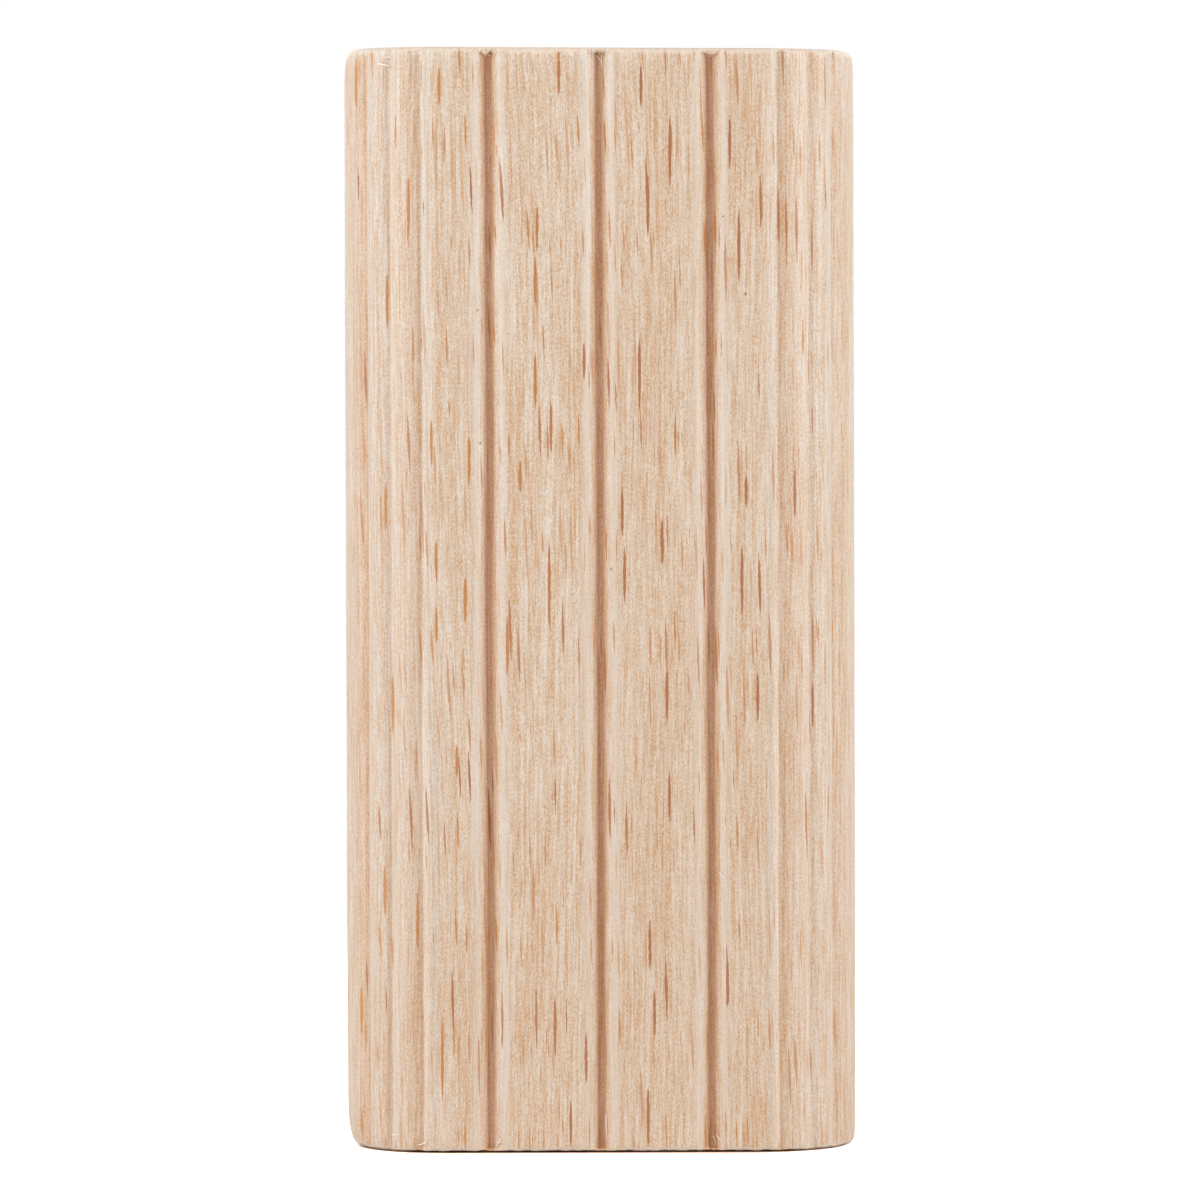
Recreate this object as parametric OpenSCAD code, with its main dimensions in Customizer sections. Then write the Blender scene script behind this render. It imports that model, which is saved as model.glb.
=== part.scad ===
// Loose tenon: a short beech slip with two rounded edges, which is glued into
// a slot mortise in each of two boards. Shallow grooves run with the grain
// down both cheeks, and finer flutes round both edges, to let air and surplus
// glue out of the mortise and to hold the glue line.
//
// Frame: millimetres, +Z along the grain. The origin is the middle of the
// lower sawn end, X runs across the width and Y through the thickness.

/* [Slip] */
// Thickness through the cheeks, the same as the mortise cutter's diameter
thickness = 10; // [8:0.5:12]
// Width over both rounded edges
width = 23.5; // [18:0.5:36]
// Length along the grain, shared between the two mortises
length = 50; // [30:1:70]
// Radius that eases the corner all round each sawn end
end_ease = 0.5; // [0.2:0.05:0.9]

/* [Cheek grooves] */
// Number of grooves down each cheek
groove_count = 3; // [1:1:4]
// Distance between neighbouring grooves
groove_pitch = 5; // [3:0.25:6]
// Depth of a groove below the cheek
groove_depth = 0.6; // [0.2:0.05:0.8]
// Width of the flat floor of a groove
groove_floor = 0.2; // [0.1:0.05:0.8]
// Radius of the pressed lip on each side of a groove
groove_lip = 0.9; // [0.4:0.05:1.2]

/* [Edge flutes] */
// Number of flutes between each cheek and the middle of an edge
flute_count = 3; // [1:1:3]
// Angle from the cheek's tangent line round the edge to the first flute
flute_start = 16.1; // [12:0.1:22]
// Angle between neighbouring flutes
flute_step = 18.7; // [15:0.1:24]
// Depth of a flute below the rounded edge
flute_depth = 0.22; // [0.05:0.01:0.25]
// Radius of the land as it rolls over into a flute
flute_lip = 1.2; // [0.4:0.1:1.2]

/* [Hidden] */

edge_r = thickness / 2;
cheek_w = width - thickness;
beech = [0.86, 0.75, 0.65];

// How far a cutter stands out of the surface that it cuts
run_out = 1;
edge_fn = 96;
lip_fn = 48;

// Half the mouth of a cheek groove: half its floor, and the reach of one lip
lip_drop = min(groove_depth, groove_lip);
lip_reach = sqrt(pow(groove_lip, 2) - pow(groove_lip - lip_drop, 2));
mouth_half = groove_floor / 2 + lip_reach;

// Half the angle that a flute's mouth takes up, where its two lips leave the
// round of the edge: they touch that round from inside and cross at the depth
lip_orbit = edge_r - flute_lip;
valley_r = edge_r - flute_depth;
mouth_angle = acos((pow(valley_r, 2) + pow(lip_orbit, 2) - pow(flute_lip, 2))
    / (2 * valley_r * lip_orbit));

// Arc length round the edge for an angle
function round_edge(angle) = edge_r * angle * PI / 180;

// Where each groove and flute lies, measured over the surface from the middle
// of the cheek
groove_stations = [
    for (i = [0:groove_count - 1]) (i - (groove_count - 1) / 2) * groove_pitch
];
flute_stations = [
    for (i = [0:flute_count - 1])
        cheek_w / 2 + round_edge(flute_start + i * flute_step)
];

// Half of the slip's end view, cut off at x = 0 and eased at its corners
module eased_half(reach) {
    hull_w = reach - end_ease;
    square([hull_w, length]);
    translate([0, end_ease])
        square([reach, length - 2 * end_ease]);
    for (z = [end_ease, length - end_ease])
        translate([hull_w, z])
            circle(end_ease, $fn = lip_fn);
}

// Half-round post that forms one edge of the slip
module edge_post() {
    rotate([0, 0, -90])
        rotate_extrude(angle = 180, $fn = edge_fn)
            eased_half(edge_r);
}

// Straight middle of the slip, between the axes of its two edges
module cheek_slab() {
    rotate([90, 0, 90])
        linear_extrude(cheek_w, center = true)
            union() {
                eased_half(edge_r);
                mirror([1, 0])
                    eased_half(edge_r);
            }
}

// The slip as it leaves the moulder and the saw, before it is grooved
module blank() {
    cheek_slab();
    for (side = [0, 1])
        mirror([side, 0, 0])
            translate([cheek_w / 2, 0, 0])
                edge_post();
}

// Moves a 2D shape from the axis of an edge to a station on the +Y surface
module at_station(station) {
    flat = min(abs(station), cheek_w / 2);
    turn = (abs(station) - flat) / edge_r * 180 / PI;
    translate([sign(station) * flat, 0])
        rotate(-sign(station) * turn)
            children();
}

// Section of a cheek groove: a flat floor between two round lips
module groove_section() {
    translate([0, edge_r])
        difference() {
            translate([-mouth_half, -groove_depth])
                square([2 * mouth_half, groove_depth + run_out]);
            for (side = [-1, 1])
                translate([side * mouth_half, -groove_lip])
                    circle(groove_lip, $fn = lip_fn);
        }
}

// Section of an edge flute: the valley between two lips that roll inwards
module flute_section() {
    lift = (edge_r + run_out) / cos(mouth_angle);
    difference() {
        polygon([
            [0, 0],
            [lift * sin(mouth_angle), lift * cos(mouth_angle)],
            [-lift * sin(mouth_angle), lift * cos(mouth_angle)]
        ]);
        circle(lip_orbit, $fn = edge_fn);
        for (side = [-1, 1])
            rotate(side * mouth_angle)
                translate([0, lip_orbit])
                    circle(flute_lip, $fn = lip_fn);
    }
}

// All that is cut from one cheek and the two quarter rounds beside it
module face_sections() {
    for (station = groove_stations)
        at_station(station)
            groove_section();
    for (station = flute_stations, side = [-1, 1])
        at_station(side * station)
            flute_section();
}

module tenon() {
    color(beech)
        difference() {
            blank();
            for (face = [0, 1])
                mirror([0, face, 0])
                    translate([0, 0, -run_out])
                        linear_extrude(length + 2 * run_out)
                            face_sections();
        }
}

tenon();
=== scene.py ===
# %% [markdown]
# # A loose tenon in beech
#
# A loose tenon is a short slip of hard, straight-grained wood. It is glued into
# a slot in each of two boards and joins them. This one is beech, 10 mm thick,
# with two rounded edges. Grooves run down its cheeks and fine flutes run round
# its edges, and both let glue and air escape from the slot.
#
# The part itself was drawn in CAD and packed. This notebook loads that frame and
# dresses it: it builds a skin fine enough to carry wood fibres, gives it a beech
# material that goes right through the solid, and lights it on a white table.

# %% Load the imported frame
import math

import bpy
import numpy as np
from mathutils import Matrix, Vector, noise


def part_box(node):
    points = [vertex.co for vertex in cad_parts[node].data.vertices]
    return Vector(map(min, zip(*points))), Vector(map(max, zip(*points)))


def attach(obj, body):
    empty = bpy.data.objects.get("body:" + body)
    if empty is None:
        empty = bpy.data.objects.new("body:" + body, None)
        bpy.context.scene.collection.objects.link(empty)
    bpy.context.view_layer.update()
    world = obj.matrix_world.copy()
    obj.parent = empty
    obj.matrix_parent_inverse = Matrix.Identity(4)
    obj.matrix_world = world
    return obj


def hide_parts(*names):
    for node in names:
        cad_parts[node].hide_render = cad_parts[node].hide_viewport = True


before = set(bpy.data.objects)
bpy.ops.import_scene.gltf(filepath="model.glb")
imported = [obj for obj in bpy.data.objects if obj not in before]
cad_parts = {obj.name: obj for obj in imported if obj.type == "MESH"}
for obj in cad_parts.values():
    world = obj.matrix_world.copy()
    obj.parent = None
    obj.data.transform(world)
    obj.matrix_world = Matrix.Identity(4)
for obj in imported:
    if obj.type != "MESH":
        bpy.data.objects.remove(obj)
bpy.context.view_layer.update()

# %% [markdown]
# ## Sizes
#
# The outer sizes come from the frame, so the skin always fits the CAD solid. The
# sizes of the grooves and flutes are the ones in the part's own source. They
# could be measured from the frame's mesh, but its arcs are made of short flats,
# and a formula with the same few numbers gives perfectly round ones.

# %% Sizes of the slip, its grooves and its flutes
MM = 0.001
tenon_low, tenon_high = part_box("tenon")
WIDTH, THICKNESS, LENGTH = tenon_high - tenon_low
EDGE_R = THICKNESS / 2
CHEEK_HALF = WIDTH / 2 - EDGE_R

GROOVE_PITCH = 5.0 * MM
GROOVE_DEPTH = 0.60 * MM
GROOVE_FLOOR = 0.20 * MM
GROOVE_LIP = 0.90 * MM

FLUTE_START = math.radians(16.1)
FLUTE_STEP = math.radians(18.7)
FLUTE_DEPTH = 0.22 * MM
FLUTE_LIP = 1.2 * MM

print("slip", [round(v / MM, 2) for v in (THICKNESS, WIDTH, LENGTH)], "mm")

# %% [markdown]
# ## Walking round the outline
#
# Seen from its end the slip is a stadium: two straight cheeks and two half
# rounds. Any shape that goes all the way round it, such as a groove or a patch
# of wear, is easy to place if a point on the outline has one number: how far it
# is along the walk. A Bezier curve with a bevel could do this too, but a plain
# function gives the surface and its outward direction at every station.

# %% The stadium as a function of the distance walked
CHEEK = 2 * CHEEK_HALF
HALF_ROUND = math.pi * EDGE_R
PERIMETER = 2 * (CHEEK + HALF_ROUND)


def stadium(station):
    """Point and outward direction for each distance walked from the middle of the
    front cheek (the one that faces -Y) towards +X."""
    walked = np.mod(station + CHEEK_HALF, PERIMETER)
    back = walked >= PERIMETER / 2
    walked = np.where(back, walked - PERIMETER / 2, walked)
    along = np.minimum(walked, CHEEK) - CHEEK_HALF
    turn = np.maximum(walked - CHEEK, 0) / EDGE_R
    normal = np.stack([np.sin(turn), -np.cos(turn)], axis=-1)
    point = np.stack([along, np.zeros_like(along)], axis=-1) + EDGE_R * normal
    flip = np.where(back, -1.0, 1.0)[..., None]
    return point * flip, normal * flip


print("outline", round(PERIMETER / MM, 2), "mm round")

# %% [markdown]
# ## Where the knives cut
#
# One pass through the moulder cuts three grooves in a cheek and three flutes on
# each quarter round beside it. The knives on the other side do the same, so the
# back is the front in a mirror: the same cuts, counted from half way round. They
# are never set quite alike, and some flutes come out shallower than others.

# %% Stations of the grooves and flutes
front_grooves = [-GROOVE_PITCH, 0.0, GROOVE_PITCH]
front_flutes = [
    side * (CHEEK_HALF + EDGE_R * (FLUTE_START + step * FLUTE_STEP))
    for side in (-1, 1)
    for step in range(3)
]
# The depth of each flute of a face, as a share of the full one
FLUTE_BITES = [0.78, 0.76, 1.0, 0.74, 0.70, 1.0]
GROOVES = front_grooves + [PERIMETER / 2 - s for s in front_grooves]
FLUTES = front_flutes + [PERIMETER / 2 - s for s in front_flutes]


def offset_from(station, cut):
    """Signed distance round the outline from a cut, the short way."""
    return np.mod(station - cut + PERIMETER / 2, PERIMETER) - PERIMETER / 2


print(len(GROOVES), "grooves and", len(FLUTES), "flutes")

# %% [markdown]
# ## How deep each cut is
#
# A groove has a flat floor and a rounded lip on each side, and a flute is a V
# whose sides roll over like a reed. A swept curve could carry these sections,
# but here each one is a depth below the stadium, made of the same circles as in
# the CAD source, so that wear and burr can be set against it later on.

# %% Depth of the grooves and flutes
LIP_DROP = min(GROOVE_DEPTH, GROOVE_LIP)
LIP_REACH = math.sqrt(GROOVE_LIP**2 - (GROOVE_LIP - LIP_DROP) ** 2)
MOUTH_HALF = GROOVE_FLOOR / 2 + LIP_REACH

LIP_ORBIT = EDGE_R - FLUTE_LIP
VALLEY_R = EDGE_R - FLUTE_DEPTH
MOUTH_ANGLE = math.acos(
    (VALLEY_R**2 + LIP_ORBIT**2 - FLUTE_LIP**2) / (2 * VALLEY_R * LIP_ORBIT)
)


def groove_profile(offset):
    """Depth of a cheek groove: a flat floor between two quarter-round lips."""
    into_lip = np.clip(MOUTH_HALF - np.abs(offset), 0, LIP_REACH)
    lip = GROOVE_LIP - np.sqrt(GROOVE_LIP**2 - into_lip**2)
    return np.where(np.abs(offset) < GROOVE_FLOOR / 2, GROOVE_DEPTH, lip)


def flute_profile(offset):
    """Depth of an edge flute, where two lips roll in from the half round."""
    angle = np.abs(offset) / EDGE_R
    swing = np.clip(MOUTH_ANGLE - angle, 0, MOUTH_ANGLE)
    side = LIP_ORBIT * np.sin(swing)
    radius = LIP_ORBIT * np.cos(swing) + np.sqrt(FLUTE_LIP**2 - side**2)
    return EDGE_R - radius


def cut_depth(station):
    """Depth below the stadium of whatever the knives cut at a station."""
    depth = np.zeros_like(station)
    for cut in GROOVES:
        depth = np.maximum(depth, groove_profile(offset_from(station, cut)))
    for number, cut in enumerate(FLUTES):
        bite = FLUTE_BITES[number % len(FLUTE_BITES)]
        depth = np.maximum(depth, bite * flute_profile(offset_from(station, cut)))
    return depth


print("a groove's mouth is", round(2 * MOUTH_HALF / MM, 2), "mm wide")

# %% [markdown]
# ## Columns
#
# The skin is a net of columns, which run with the grain, and rows. Fibres are
# long and thin, so columns are close together and rows are far apart. Columns
# spaced evenly along the flat outline would leave the groove walls bare, so the
# real outline is measured first and cut into equal steps. Then the columns
# nearest to the bottom of a flute are moved onto it, which keeps the V sharp.

# %% Stations of the columns
COLUMNS = 860
FINE_STEPS = 40000

fine = np.linspace(0, PERIMETER, FINE_STEPS)
fine_point, fine_normal = stadium(fine)
fine_outline = fine_point - fine_normal * cut_depth(fine)[:, None]
steps = np.linalg.norm(np.diff(fine_outline, axis=0), axis=1)
walked = np.concatenate([[0], np.cumsum(steps)])
column_station = np.interp(
    np.linspace(0, walked[-1], COLUMNS, endpoint=False), walked, fine
)
for cut in FLUTES:
    nearest = np.argmin(np.abs(offset_from(column_station, cut)))
    column_station[nearest] = np.mod(cut, PERIMETER)
print(COLUMNS, "columns,", round(walked[-1] / COLUMNS / MM * 1000), "microns apart")

# %% [markdown]
# ## Rows
#
# At the ends the saw has eased the corner and torn the wood within a few tenths
# of a millimetre, while along the middle nothing changes quickly. Even rows
# would waste most of the vertices, so the rows close up at both ends and spread
# out between them.

# %% Heights of the rows
# Distances of the first rows from an end
END_ROWS = MM * np.array(
    [0, 0.02, 0.06, 0.11, 0.16, 0.20, 0.24, 0.28, 0.33, 0.40, 0.55, 0.9, 1.5]
)
MIDDLE_ROWS = 64

middle = np.linspace(END_ROWS[-1], LENGTH - END_ROWS[-1], MIDDLE_ROWS)
row_height = np.concatenate([END_ROWS[:-1], middle, LENGTH - END_ROWS[-2::-1]])
ROWS = len(row_height)
print(ROWS, "rows")

# %% [markdown]
# ## Eased ends
#
# A saw cuts the slips to length, and tumbling about with a boxful of others eases
# the corner. A bevel modifier would make an easing that is the same everywhere
# and looks like moulded plastic. So here its reach wanders, and it is worn
# further back at the corners that were knocked. The wear is a depth below the
# stadium, like the cuts: where it is deeper than a groove, the groove has gone.

# %% Easing and wear at the ends
EASE = 0.32 * MM
EASE_WANDER = 0.18
SLOW_PITCH, QUICK_PITCH = 2.3 * MM, 0.5 * MM
CORNER_SPREAD = 3.2 * MM
LEFT_EDGE = -(CHEEK_HALF + HALF_ROUND / 2)
RIGHT_EDGE = -LEFT_EDGE
# Extra wear where a rounded edge meets an end: station, end, reach in, reach up
WORN_CORNERS = [
    (LEFT_EDGE, "bottom", 0.50 * MM, 1.9 * MM),
    (LEFT_EDGE, "top", 0.31 * MM, 1.8 * MM),
    (RIGHT_EDGE, "top", 0.20 * MM, 1.2 * MM),
    (RIGHT_EDGE, "bottom", 0.16 * MM, 0.9 * MM),
]


def wander(values, pitch, seed):
    """Slow random wave in -1..1 with one swing for about every pitch."""
    return np.array([noise.noise(Vector((v / pitch, seed, 0.5))) for v in values])


def easing(height_left, reach_in, reach_up):
    """Depth of an elliptical easing, a given height short of the end."""
    short = np.clip(1 - height_left / reach_up, 0, 1)
    return reach_in * (1 - np.sqrt(1 - short**2))


def end_wear(end):
    """Depth that one end's easing and wear take from every row and column."""
    left = row_height if end == "bottom" else LENGTH - row_height
    seed = 3.7 if end == "bottom" else 8.1
    wave = wander(column_station, SLOW_PITCH, seed)
    wave = wave + wander(column_station, QUICK_PITCH, seed + 2)
    reach = EASE * (1 + EASE_WANDER * wave)
    depth = easing(left[:, None], reach[None, :], reach[None, :])
    for edge, at_end, reach_in, reach_up in WORN_CORNERS:
        if at_end == end:
            near = np.exp(-((offset_from(column_station, edge) / CORNER_SPREAD) ** 2))
            depth = depth + near * easing(left[:, None], reach_in, reach_up)
    return depth


worn = np.maximum(end_wear("bottom"), end_wear("top"))
print("deepest easing", round(worn.max() / MM, 2), "mm")

# %% [markdown]
# ## Burr
#
# The saw drags a few fibres over the mouth of every groove, so a groove doesn't
# run cleanly out of the end: a thin, ragged web of torn wood closes it. The web
# could be a piece of its own, but fading the deeper part of the cuts over the
# last fraction of a millimetre gives it from the same skin, and the shallow lips
# still run out to the end.

# %% Burr that closes the grooves at the ends
BURR_TOP = 0.24 * MM
BURR_BOTTOM = 0.10 * MM
BURR_SLOPE = 0.09 * MM
# Only what is deeper than this fades
BURR_DEPTH = 0.14 * MM
TORN_PITCH = 0.16 * MM
TORN_WANDER = 0.9


def burr_fade():
    """Share of the deeper part of the cuts that is left at every row and column."""
    share = np.ones((ROWS, COLUMNS))
    for reach, left, seed in ((BURR_BOTTOM, row_height, 1.5),
                              (BURR_TOP, LENGTH - row_height, 6.5)):
        torn = reach * (1 + TORN_WANDER * wander(column_station, TORN_PITCH, seed))
        run = np.clip((left[:, None] - torn[None, :]) / BURR_SLOPE, 0, 1)
        share = share * run * run * (3 - 2 * run)
    return share


cut_share = burr_fade()
print("cuts fade over the last", BURR_TOP / MM, "mm")

# %% [markdown]
# ## Relief of the wood
#
# Planed beech isn't flat. Its fibres stand a few thousandths of a millimetre
# proud, the knives leave a slow ripple, and the grooves wander a little as they
# follow the grain. A displacement texture could do this, but then the exported
# mesh would be smooth. Here the vertices themselves move, always inwards, so
# the skin stays inside the box of the CAD solid.

# %% Relief and wander of the surface
FIBRE_RELIEF = 0.007 * MM
RIPPLE_RELIEF = 0.018 * MM
CUT_WANDER = 0.045 * MM
# Size of each pattern across the grain and along it
FIBRE_SIZE = (0.16 * MM, 2.4 * MM)
RIPPLE_SIZE = (1.6 * MM, 8.0 * MM)
WANDER_SIZE = (4.0 * MM, 7.0 * MM)


def grain_noise(points, across, along, seed):
    """Noise in 0..1 that is stretched along the grain."""
    scale = np.array([1 / across, 1 / across, 1 / along])
    shift = np.array([seed, 2 * seed, 3 * seed])
    return np.array([0.5 + 0.5 * noise.noise(Vector(p)) for p in points * scale + shift])


station_grid = np.tile(column_station, (ROWS, 1))
height_grid = np.repeat(row_height[:, None], COLUMNS, axis=1)
flat_point, _ = stadium(station_grid)
where = np.dstack([flat_point, height_grid]).reshape(-1, 3)
side_step = grain_noise(where, *WANDER_SIZE, 1.3).reshape(ROWS, COLUMNS)
fibre = grain_noise(where, *FIBRE_SIZE, 5.1).reshape(ROWS, COLUMNS)
ripple = grain_noise(where, *RIPPLE_SIZE, 9.6).reshape(ROWS, COLUMNS)
relief = FIBRE_RELIEF * fibre + RIPPLE_RELIEF * ripple
print("relief up to", round(relief.max() / MM * 1000, 1), "microns")

# %% [markdown]
# ## The long faces
#
# Everything about the long faces comes together here. Each vertex starts on the
# stadium, a little to one side where the grooves wander, and goes in by the
# deepest of the cut and the wear, plus the relief. The slip has dried since it
# was cut, so its edges have shrunk in a little. The upper end was sawn very
# slightly out of square, which makes the right side a hair shorter.

# %% Vertices of the long faces
OUT_OF_SQUARE = 0.15 * MM
SHRINKAGE = 0.12 * MM


def top_drop(x):
    """How much lower than the frame's top the upper end is at a given x."""
    return OUT_OF_SQUARE * (x / WIDTH + 0.5)


def side_vertices():
    """Places of all of the vertices between the two ends, row by row."""
    point, normal = stadium(station_grid + CUT_WANDER * (2 * side_step - 1))
    cut = cut_depth(station_grid)
    shallow = np.minimum(cut, BURR_DEPTH)
    depth = np.maximum(shallow + (cut - shallow) * cut_share, worn) + relief
    outline = point - normal * depth[..., None]
    beyond = np.clip(np.abs(outline[..., 0]) - CHEEK_HALF, 0, EDGE_R) / EDGE_R
    outline[..., 0] -= np.sign(outline[..., 0]) * SHRINKAGE * beyond**2
    height = height_grid - top_drop(outline[..., 0]) * height_grid / LENGTH
    return np.dstack([outline, height])


side = side_vertices()
print("narrowest row is", round(float(np.ptp(side[..., 0], axis=1).min() / MM), 2), "mm wide")

# %% [markdown]
# ## The sawn ends
#
# A sawn end is flat but for the marks of the teeth. One big face could close it,
# but such a face can't carry those marks. So each end is closed by rings that
# shrink from its rim towards the line between the two edge axes, and they dip
# in here and there by up to a fiftieth of a millimetre.

# %% Rings that close an end
CAP_RINGS = [0.012, 0.035, 0.08, 0.16, 0.28, 0.42, 0.58, 0.75, 0.9, 1.0]
SAW_RELIEF = 0.02 * MM
SAW_MARK_SIZE = (0.35 * MM, 1.0 * MM)
# Share of the way in by which the saw marks have their full depth
FULL_DEPTH_AT = 0.05


def end_rings(rim, upper):
    """Rings from the rim of an end to the spine between the two edge axes."""
    spine = np.zeros_like(rim)
    spine[:, 0] = np.clip(rim[:, 0], -CHEEK_HALF, CHEEK_HALF)
    rings = []
    for share in CAP_RINGS:
        ring = rim + (spine - rim) * share
        dip = SAW_RELIEF * grain_noise(ring, *SAW_MARK_SIZE, 4.4)
        dip = dip * min(share / FULL_DEPTH_AT, 1)
        ring[:, 2] = LENGTH - top_drop(ring[:, 0]) - dip if upper else dip
        rings.append(ring)
    return np.array(rings)


lower_end = end_rings(side[0], upper=False)[::-1]
upper_end = end_rings(side[-1], upper=True)
print(len(CAP_RINGS), "rings close each end")

# %% [markdown]
# ## The skin
#
# The lower rings, the long faces and the upper rings make one net, so the skin
# is a single piece, as the wood is. Four neighbours make a face, and the last
# column is joined to the first. In the middle of each sawn end the two sides of
# the last ring lie on one line and aren't welded there. That can't be seen, but
# a program that needs a watertight mesh would have to close the line first.

# %% Build the skin of the tenon
def net_faces(rows):
    """Quads between the rings of the net."""
    faces = []
    for row in range(rows - 1):
        low, high = row * COLUMNS, (row + 1) * COLUMNS
        for column in range(COLUMNS):
            after = (column + 1) % COLUMNS
            faces.append((low + column, low + after, high + after, high + column))
    return faces


net = np.concatenate([lower_end, side, upper_end])
mesh = bpy.data.meshes.new("tenon_skin")
mesh.from_pydata(net.reshape(-1, 3).tolist(), [], net_faces(len(net)))
tenon = bpy.data.objects.new("tenon_skin", mesh)
bpy.context.scene.collection.objects.link(tenon)
mesh.shade_smooth()
print(len(mesh.vertices), "vertices", 2 * len(mesh.polygons), "triangles")

# %% [markdown]
# ## Marks for the material
#
# A vertex attribute is a number that each vertex carries to the material. The
# first marks the rolled lips of the cuts, which the knives have burnished pale;
# the material also paints a highlight there, where the crests turn to the lamps.
# The second marks the bottoms of the grooves and the third the walls of the
# flutes that face back to the cheek, and both get painted shade. The last marks
# the underside of the torn web, which gets painted light against its shadow. A
# texture in space could not follow the cuts so closely, and the skin isn't
# unwrapped.

# %% How the lips and flutes are marked
# Distance of a lip's crest from the middle of its groove
CREST = 0.62 * MM
CREST_SPREAD = 0.20 * MM
LAND_SHARE = 0.95
LAND_START = 0.08 * MM
LAND_SPREAD = 0.38 * MM
SHADE_SPREAD = 0.75 * MM
# How strongly the three flutes of the left edge and of the right are shaded
FLUTE_SHADES = [0.50, 0.38, 1.1, 0.40, 0.10, 0.60]


def beyond_flute(station, cut):
    """Distance from a flute, positive on the side away from the cheek."""
    middle = 0.0 if abs(cut) < PERIMETER / 4 else PERIMETER / 2
    return offset_from(station, cut) * np.sign(offset_from(cut, middle))


def lip_share(station):
    """1 on the crests beside the cuts, fading to 0 on the plain wood."""
    share = np.zeros_like(station)
    for cut in GROOVES:
        off_crest = np.abs(offset_from(station, cut)) - CREST
        share = np.maximum(share, np.exp(-((off_crest / CREST_SPREAD) ** 2)))
    for cut in FLUTES:
        inside = -beyond_flute(station, cut)
        land = LAND_SHARE * np.exp(-inside / LAND_SPREAD)
        share = np.maximum(share, np.where(inside > LAND_START, land, 0))
    return share


def shade_share(station):
    """How much painted shade lies on the wall of a flute that faces back to the cheek."""
    share = np.zeros_like(station)
    for number, cut in enumerate(FLUTES):
        outside = beyond_flute(station, cut)
        fall = np.where(outside >= 0, np.exp(-outside / SHADE_SPREAD), 0)
        share = np.maximum(share, FLUTE_SHADES[number % len(FLUTE_SHADES)] * fall)
    return share


lip_mark = lip_share(column_station)
shade_mark = shade_share(column_station)
print("strongest lip", round(lip_mark.max(), 2), "and flute wall", round(shade_mark.max(), 2))

# %% [markdown]
# ## Writing the marks
#
# The caps have no marks, so each attribute starts as zeros for the whole net and
# only the rows of the sides are filled. Setting all values at once is far faster
# than going through the vertices one by one.

# %% Write the four attributes
# Shares of a groove's depth between which the painted shade of its bottom comes in
CORE_START, CORE_FULL = 0.42, 0.92
SIDES = slice(len(CAP_RINGS), -len(CAP_RINGS))


def mark(name, side_values):
    """Writes one number per vertex of the skin, and 0 on the caps."""
    values = np.zeros((len(net), COLUMNS))
    values[SIDES] = side_values
    attribute = mesh.attributes.new(name, "FLOAT", "POINT")
    attribute.data.foreach_set("value", values.astype(np.float32).ravel())


deep = cut_depth(column_station)
groove_shade_mark = np.clip((deep / GROOVE_DEPTH - CORE_START) / (CORE_FULL - CORE_START), 0, 1)
web_mark = np.clip(deep / BURR_DEPTH - 1, 0, 1)
half_closed = 4 * cut_share * (1 - cut_share)
mark("lip", lip_mark * cut_share)
mark("core", groove_shade_mark * cut_share)
mark("shade", shade_mark * cut_share)
mark("web", web_mark * half_closed)
print("lips cover", round(float(lip_mark.mean()) * 100), "% of the outline")

# %% [markdown]
# ## Building materials from nodes
#
# A procedural material is a chain of small steps. They could be wired up by hand
# in the shader editor, but then nobody could read them here. A helper that adds
# a node, fills its sockets and returns its output keeps each step to one line.

# %% A small helper for node trees
class Nodes:
    """Adds nodes to a node tree and links them."""

    def __init__(self, owner):
        owner.use_nodes = True
        self.tree = owner.node_tree
        self.tree.nodes.clear()

    def add(self, kind, settings=None, **inputs):
        """Adds a node, with its inputs given by name."""
        node = self.tree.nodes.new(kind)
        for name, value in (settings or {}).items():
            setattr(node, name, value)
        for name, value in inputs.items():
            self.feed(node.inputs[name.replace("_", " ")], value)
        return node

    def feed(self, socket, value):
        """Links another node's output to a socket, or sets its plain value."""
        if isinstance(value, bpy.types.NodeSocket):
            self.tree.links.new(value, socket)
        else:
            socket.default_value = value

    def maths(self, operation, *values):
        """One step of arithmetic on plain numbers."""
        node = self.add("ShaderNodeMath", {"operation": operation})
        for socket, value in zip(node.inputs, values):
            self.feed(socket, value)
        return node.outputs[0]

    def vector(self, operation, *values):
        """The same for vectors and colours."""
        node = self.add("ShaderNodeVectorMath", {"operation": operation})
        for socket, value in zip(node.inputs, values):
            self.feed(socket, value)
        return node.outputs["Value" if operation == "LENGTH" else "Vector"]

    def ramp(self, value, low, high, to_low=0.0, to_high=1.0):
        """Turns low..high into to_low..to_high along a soft curve."""
        node = self.add("ShaderNodeMapRange", {"interpolation_type": "SMOOTHSTEP"})
        sockets = ("Value", "From Min", "From Max", "To Min", "To Max")
        for name, given in zip(sockets, (value, low, high, to_low, to_high)):
            self.feed(node.inputs[name], given)
        return node.outputs[0]

    def blend(self, factor, first, second):
        """Mixes two colours: the first at 0, the second at 1."""
        node = self.add("ShaderNodeMix", {"data_type": "RGBA"})
        for index, given in ((0, factor), (6, first), (7, second)):
            self.feed(node.inputs[index], given)
        return node.outputs[2]

    def grain(self, position, across, along, detail=1.0):
        """Noise whose blobs are across wide and along tall, in millimetres."""
        stretched = self.vector("DIVIDE", position, (across, across, along))
        return self.add("ShaderNodeTexNoise", Vector=stretched, Scale=1.0,
                        Detail=detail).outputs["Fac"]


beech = bpy.data.materials.new("bare_beech")
wood = Nodes(beech)
print("made material", beech.name)

# %% [markdown]
# ## Where in the wood
#
# A flat wood texture wrapped round the skin would not meet at the corners, and
# the sawn ends would show long grain. So all of the pattern is worked out
# from the place inside the solid, in millimetres, and runs through the slip as
# real grain does. A slow shift sideways makes it sway by about a degree.

# %% Grain space
SWAY = 1.1
SWAY_SIZE = (8.0, 12.0, 30.0)

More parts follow.
